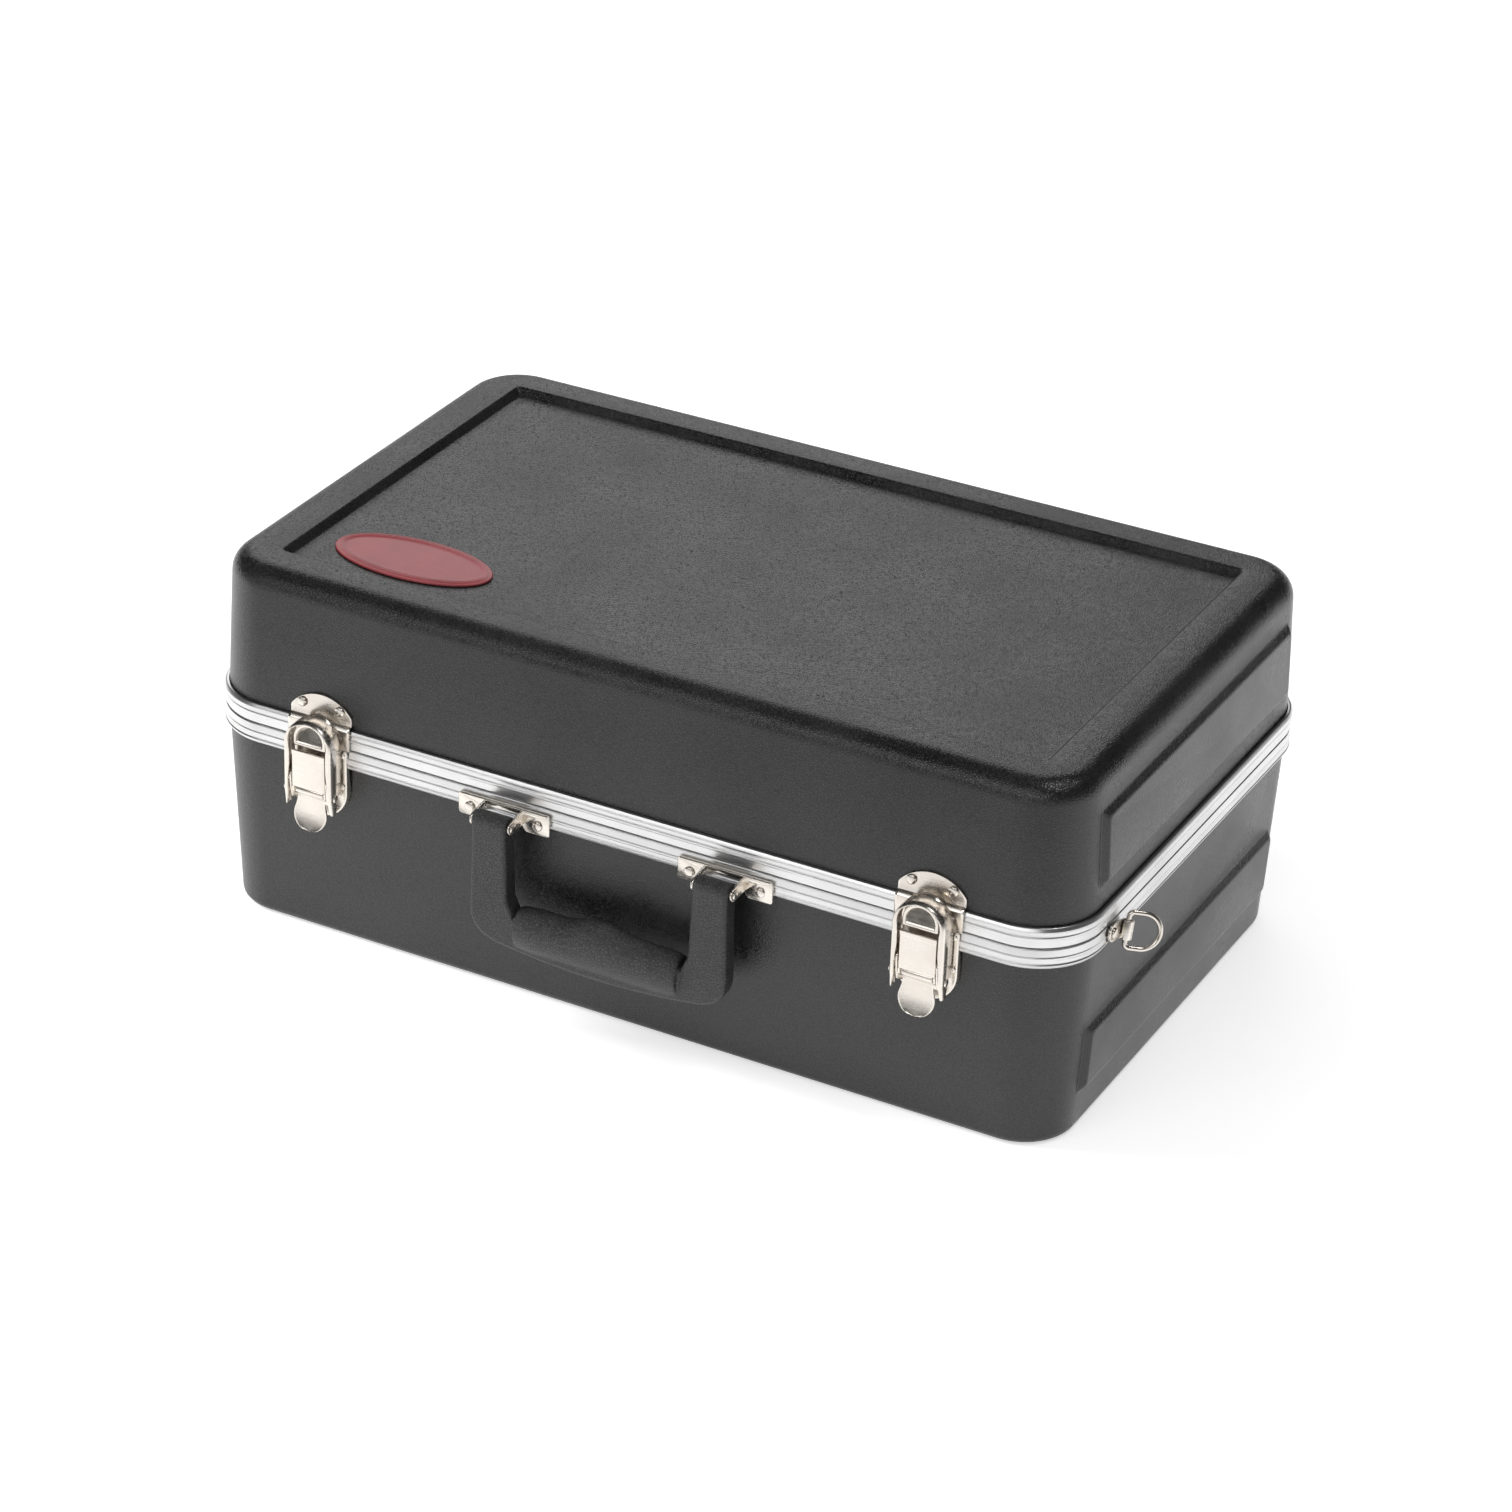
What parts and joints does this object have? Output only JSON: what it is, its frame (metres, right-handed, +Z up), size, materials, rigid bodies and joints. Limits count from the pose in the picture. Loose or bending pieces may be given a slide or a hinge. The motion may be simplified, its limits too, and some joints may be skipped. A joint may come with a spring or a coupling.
{
  "type": "cornet case",
  "caption": "Moulded hard case for a cornet: hinged lid with an aluminium edge band, draw latches, swinging handle, strap rings and a fitted padded inside.",
  "frame": {"origin": "middle of the flat underside of the base shell", "axes": "+X along the length towards the right end, -Y towards the front with the latches and handle, +Z up"},
  "size_m": [0.4506, 0.2783, 0.1705],
  "materials": {
    "moulded_shell": "leather-grained, slight sheen",
    "edge_band": "satin anodised",
    "nickel_hardware": "warm nickel plate",
    "handle_grip": "fine grain",
    "badge_plate": "gloss",
    "plush_lining": "short pile",
    "tab_leather": "smooth"
  },
  "bodies": {
    "case": {"base_shell": "moulded_shell", "base_band": "edge_band", "base_insert": "plush_lining", "pocket_block": "plush_lining", "accessory_block": "plush_lining", "latch_plate_left": "nickel_hardware", "latch_plate_right": "nickel_hardware", "plate_rivet_left_1": "nickel_hardware", "plate_rivet_left_2": "nickel_hardware", "plate_rivet_right_1": "nickel_hardware", "plate_rivet_right_2": "nickel_hardware", "handle_bracket_left": "nickel_hardware", "handle_bracket_right": "nickel_hardware", "bracket_rivet_left_1": "nickel_hardware", "bracket_rivet_left_2": "nickel_hardware", "bracket_rivet_right_1": "nickel_hardware", "bracket_rivet_right_2": "nickel_hardware", "handle_pin_left": "nickel_hardware", "handle_pin_right": "nickel_hardware", "ring_clip_left": "nickel_hardware", "ring_clip_right": "nickel_hardware", "ring_rivet_left": "nickel_hardware", "ring_rivet_right": "nickel_hardware", "hinge_leaf_base_left": "nickel_hardware", "hinge_leaf_base_right": "nickel_hardware", "hinge_pin_left": "nickel_hardware", "hinge_pin_right": "nickel_hardware", "hinge_rivet_base_left_1": "nickel_hardware", "hinge_rivet_base_left_2": "nickel_hardware", "hinge_rivet_base_right_1": "nickel_hardware", "hinge_rivet_base_right_2": "nickel_hardware"},
    "lid": {"lid_shell": "moulded_shell", "lid_band": "edge_band", "lid_badge": "badge_plate", "lid_lining": "plush_lining", "latch_keeper_left": "nickel_hardware", "latch_keeper_right": "nickel_hardware", "keeper_rivet_left_1": "nickel_hardware", "keeper_rivet_left_2": "nickel_hardware", "keeper_rivet_right_1": "nickel_hardware", "keeper_rivet_right_2": "nickel_hardware", "hinge_leaf_lid_left": "nickel_hardware", "hinge_leaf_lid_right": "nickel_hardware", "hinge_rivet_lid_left_1": "nickel_hardware", "hinge_rivet_lid_left_2": "nickel_hardware", "hinge_rivet_lid_right_1": "nickel_hardware", "hinge_rivet_lid_right_2": "nickel_hardware"},
    "carry_handle": {"handle": "handle_grip"},
    "accessory_cover": {"accessory_lid": "plush_lining", "accessory_tab": "tab_leather"},
    "lever_left": {"latch_lever_left": "nickel_hardware"},
    "link_left": {"latch_hoop_left": "nickel_hardware", "latch_cover_left": "nickel_hardware", "latch_joint_pin_left": "nickel_hardware"},
    "ring_left": {"strap_ring_left": "nickel_hardware"},
    "lever_right": {"latch_lever_right": "nickel_hardware"},
    "link_right": {"latch_hoop_right": "nickel_hardware", "latch_cover_right": "nickel_hardware", "latch_joint_pin_right": "nickel_hardware"},
    "ring_right": {"strap_ring_right": "nickel_hardware"}
  },
  "joints": [
    {"name": "lid_hinge", "type": "hinge", "parent": "case", "child": "lid", "pos_m": [0, 0.1301, 0.098], "axis": [-1, 0, 0], "range_deg": [0, 100]},
    {"name": "handle_swing", "type": "hinge", "parent": "case", "child": "carry_handle", "pos_m": [0, -0.1375, 0.091], "axis": [-1, 0, 0], "range_deg": [0, 170]},
    {"name": "accessory_lid_hinge", "type": "hinge", "parent": "case", "child": "accessory_cover", "pos_m": [0.1175, -0.1075, 0.091], "axis": [1, 0, 0], "range_deg": [0, 95]},
    {"name": "latch_lever_left", "type": "hinge", "parent": "case", "child": "lever_left", "pos_m": [-0.146, -0.1346, 0.0838], "axis": [-1, 0, 0], "range_deg": [0, 80]},
    {"name": "latch_link_left", "type": "hinge", "parent": "lever_left", "child": "link_left", "pos_m": [-0.146, -0.1344, 0.0774], "axis": [-1, 0, 0], "range_deg": [-88, 0]},
    {"name": "strap_ring_left", "type": "hinge", "parent": "case", "child": "ring_left", "pos_m": [-0.2125, -0.079, 0.0912], "axis": [0, -0.2588, -0.9659], "range_deg": [-120, 56]},
    {"name": "latch_lever_right", "type": "hinge", "parent": "case", "child": "lever_right", "pos_m": [0.146, -0.1346, 0.0838], "axis": [-1, 0, 0], "range_deg": [0, 80]},
    {"name": "latch_link_right", "type": "hinge", "parent": "lever_right", "child": "link_right", "pos_m": [0.146, -0.1344, 0.0774], "axis": [-1, 0, 0], "range_deg": [-88, 0]},
    {"name": "strap_ring_right", "type": "hinge", "parent": "case", "child": "ring_right", "pos_m": [0.2125, -0.079, 0.0912], "axis": [0, 0.2588, 0.9659], "range_deg": [-120, 56]}
  ],
  "couplings": [
    {"joint": "latch_link_left", "follows": "latch_lever_left", "ratio": -1.1},
    {"joint": "latch_link_right", "follows": "latch_lever_right", "ratio": -1.1}
  ]
}
